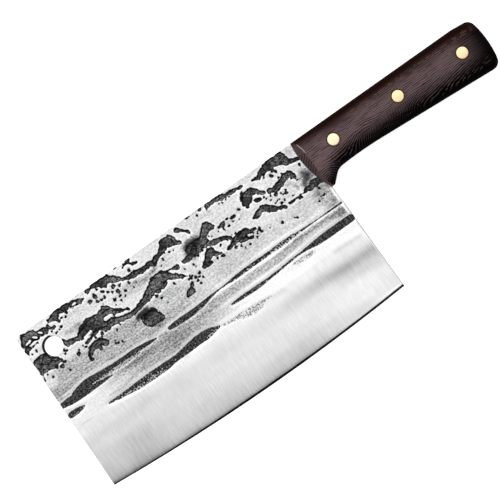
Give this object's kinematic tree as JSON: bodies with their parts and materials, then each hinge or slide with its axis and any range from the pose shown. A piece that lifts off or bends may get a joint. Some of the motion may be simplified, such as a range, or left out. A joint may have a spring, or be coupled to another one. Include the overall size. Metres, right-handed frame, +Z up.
{
  "type": "meat cleaver",
  "caption": "Forged meat cleaver with a broad rectangular blade, a hanging hole, a full tang and a riveted wooden handle.",
  "frame": {"origin": "centre of the underside of the bounding box, with the cleaver lying on its side", "axes": "+X from the blade's front end to the butt of the handle, +Y from the cutting edge to the spine, +Z up through the thickness"},
  "size_m": [0.3366, 0.112, 0.022],
  "materials": {
    "forged_steel": "forged and part ground, with black scale left in the hollows near the spine and a brushed, bright grind below",
    "dark_wood": "open-grained dark brown hardwood, oiled, with fine paler lines",
    "epoxy": "set dark epoxy, seen only as a thin line",
    "brass": "ground flush with the wood and lightly polished"
  },
  "bodies": {
    "root": {"blade_and_tang": "forged_steel", "upper_scale": "dark_wood", "lower_scale": "dark_wood", "upper_epoxy_bed": "epoxy", "lower_epoxy_bed": "epoxy", "front_rivet_socket": "brass", "front_rivet_stud": "brass", "middle_rivet_socket": "brass", "middle_rivet_stud": "brass", "rear_rivet_socket": "brass", "rear_rivet_stud": "brass"}
  },
  "joints": []
}
